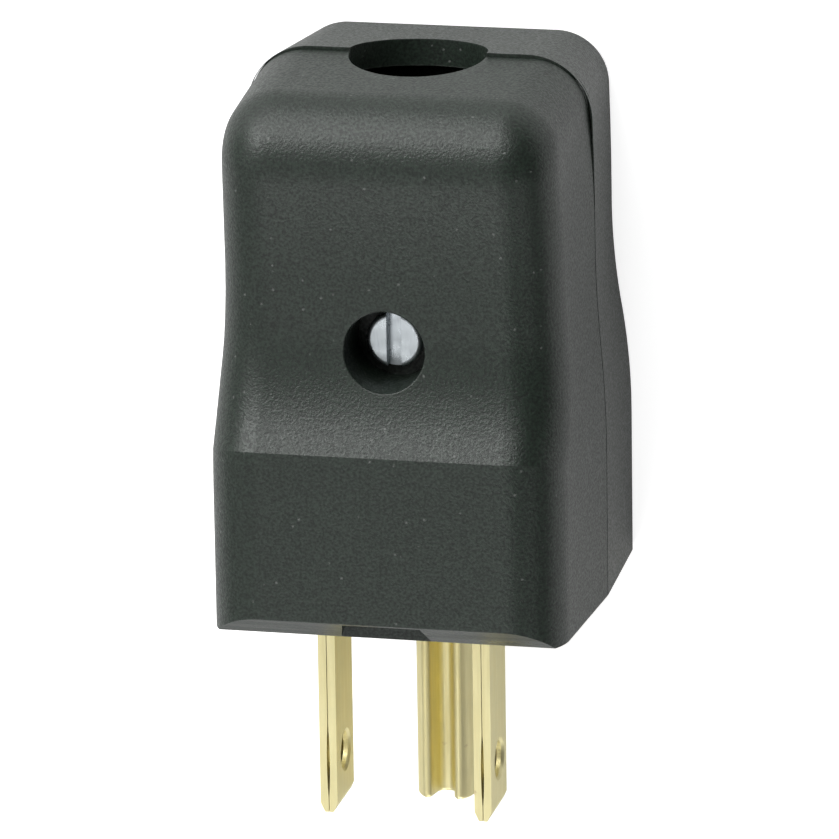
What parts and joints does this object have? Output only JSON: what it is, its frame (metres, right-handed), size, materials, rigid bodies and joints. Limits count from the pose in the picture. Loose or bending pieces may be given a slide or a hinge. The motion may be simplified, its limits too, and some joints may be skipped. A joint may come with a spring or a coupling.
{
  "type": "grounded plug",
  "caption": "Rewirable grounded mains plug: flared moulded covers with a recessed cover screw, a round cable entry, flat folded blades and a U-shaped ground pin.",
  "frame": {"origin": "under the middle of the overall box, in the plane of the rear cover's flat back", "axes": "+X across the blades towards the line blade, +Y along the plug towards the cable entry, +Z out of the front cover"},
  "size_m": [0.03, 0.0644, 0.0293],
  "materials": {
    "cover_plastic": "fine spark-eroded grain, dark grey",
    "pin_brass": "bright rolled brass",
    "zinc_steel": "bright zinc plate"
  },
  "bodies": {
    "root": {"front_cover": "cover_plastic", "rear_cover": "cover_plastic", "cord_clamp_bar": "cover_plastic", "line_blade": "pin_brass", "neutral_blade": "pin_brass", "ground_pin": "pin_brass", "cover_screw": "zinc_steel", "cover_nut": "zinc_steel", "line_wire_clamp": "zinc_steel", "line_terminal_screw": "zinc_steel", "neutral_wire_clamp": "zinc_steel", "neutral_terminal_screw": "zinc_steel", "ground_wire_clamp": "zinc_steel", "ground_terminal_screw": "zinc_steel", "cord_clamp_screw_left": "zinc_steel", "cord_clamp_screw_right": "zinc_steel"}
  },
  "joints": []
}
